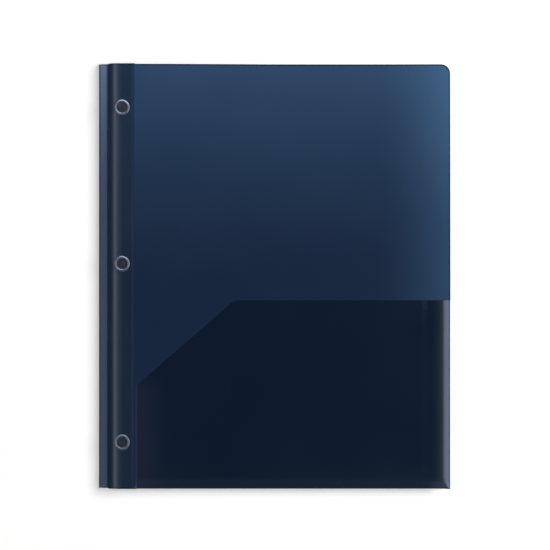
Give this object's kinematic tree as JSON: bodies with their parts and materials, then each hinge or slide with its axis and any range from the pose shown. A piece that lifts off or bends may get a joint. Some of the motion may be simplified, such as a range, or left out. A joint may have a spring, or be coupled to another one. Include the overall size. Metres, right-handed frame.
{
  "type": "two pocket folder",
  "caption": "Letter-size plastic two pocket folder with a gusseted spine, riveted bend-over prongs and slant-cut welded pockets.",
  "frame": {"origin": "centre of the closed folder's footprint, on the table", "axes": "+X from the spine edge to the open edge, +Y from the bottom edge to the top edge, +Z out of the front cover"},
  "size_m": [0.2414, 0.2922, 0.0069],
  "materials": {
    "navy_poly": "satin, slightly see-through polypropylene sheet with a fine embossed grain",
    "rivet_plastic": "smooth moulded plastic, polished on the ring",
    "prong_steel": "plated spring steel strip"
  },
  "bodies": {
    "back_half": {"back_cover": "navy_poly", "back_pocket": "navy_poly", "back_bottom_fold": "navy_poly", "back_side_fold": "navy_poly", "back_side_flap": "navy_poly"},
    "spine_gusset": {"gusset": "navy_poly"},
    "spine_panel": {"fastener_panel": "navy_poly", "fastener_strip": "navy_poly", "upper_rivet": "rivet_plastic", "middle_rivet": "rivet_plastic", "lower_rivet": "rivet_plastic", "upper_prong_base": "prong_steel", "middle_prong_base": "prong_steel", "lower_prong_base": "prong_steel"},
    "front_half": {"front_cover": "navy_poly", "front_pocket": "navy_poly", "front_bottom_fold": "navy_poly", "front_side_fold": "navy_poly", "front_side_flap": "navy_poly"},
    "upper_tang_up_blade": {"upper_tang_up": "prong_steel"},
    "upper_tang_down_blade": {"upper_tang_down": "prong_steel"},
    "middle_tang_up_blade": {"middle_tang_up": "prong_steel"},
    "middle_tang_down_blade": {"middle_tang_down": "prong_steel"},
    "lower_tang_up_blade": {"lower_tang_up": "prong_steel"},
    "lower_tang_down_blade": {"lower_tang_down": "prong_steel"}
  },
  "joints": [
    {"name": "spine_fold", "type": "hinge", "parent": "back_half", "child": "spine_gusset", "pos_m": [-0.12057, 0, 0.0005], "axis": [0, -1, 0], "range_deg": [0, 144.7]},
    {"name": "shoulder_bend", "type": "hinge", "parent": "spine_gusset", "child": "spine_panel", "pos_m": [-0.11189, 0, 0.00567], "axis": [0, -1, 0], "range_deg": [0, 35.4]},
    {"name": "cover_groove", "type": "hinge", "parent": "spine_panel", "child": "front_half", "pos_m": [-0.09778, 0, 0.00585], "axis": [0, 1, 0], "range_deg": [-135, 0]},
    {"name": "upper_tang_up_bend", "type": "hinge", "parent": "spine_panel", "child": "upper_tang_up_blade", "pos_m": [-0.10473, 0.11825, 0.00465], "axis": [-1, 0, 0], "range_deg": [0, 90.1]},
    {"name": "upper_tang_down_bend", "type": "hinge", "parent": "spine_panel", "child": "upper_tang_down_blade", "pos_m": [-0.10473, 0.11325, 0.00465], "axis": [1, 0, 0], "range_deg": [0, 90.1]},
    {"name": "middle_tang_up_bend", "type": "hinge", "parent": "spine_panel", "child": "middle_tang_up_blade", "pos_m": [-0.10473, 0.01095, 0.00465], "axis": [-1, 0, 0], "range_deg": [0, 90.1]},
    {"name": "middle_tang_down_bend", "type": "hinge", "parent": "spine_panel", "child": "middle_tang_down_blade", "pos_m": [-0.10473, 0.00595, 0.00465], "axis": [1, 0, 0], "range_deg": [0, 90.1]},
    {"name": "lower_tang_up_bend", "type": "hinge", "parent": "spine_panel", "child": "lower_tang_up_blade", "pos_m": [-0.10473, -0.11155, 0.00465], "axis": [-1, 0, 0], "range_deg": [0, 90.1]},
    {"name": "lower_tang_down_bend", "type": "hinge", "parent": "spine_panel", "child": "lower_tang_down_blade", "pos_m": [-0.10473, -0.11655, 0.00465], "axis": [1, 0, 0], "range_deg": [0, 90.1]}
  ],
  "couplings": [
    {"joint": "shoulder_bend", "follows": "spine_fold", "ratio": 0.24395},
    {"joint": "upper_tang_up_bend", "follows": "spine_fold", "ratio": 0.62198},
    {"joint": "upper_tang_down_bend", "follows": "spine_fold", "ratio": 0.62198},
    {"joint": "middle_tang_up_bend", "follows": "spine_fold", "ratio": 0.62198},
    {"joint": "middle_tang_down_bend", "follows": "spine_fold", "ratio": 0.62198},
    {"joint": "lower_tang_up_bend", "follows": "spine_fold", "ratio": 0.62198},
    {"joint": "lower_tang_down_bend", "follows": "spine_fold", "ratio": 0.62198}
  ]
}
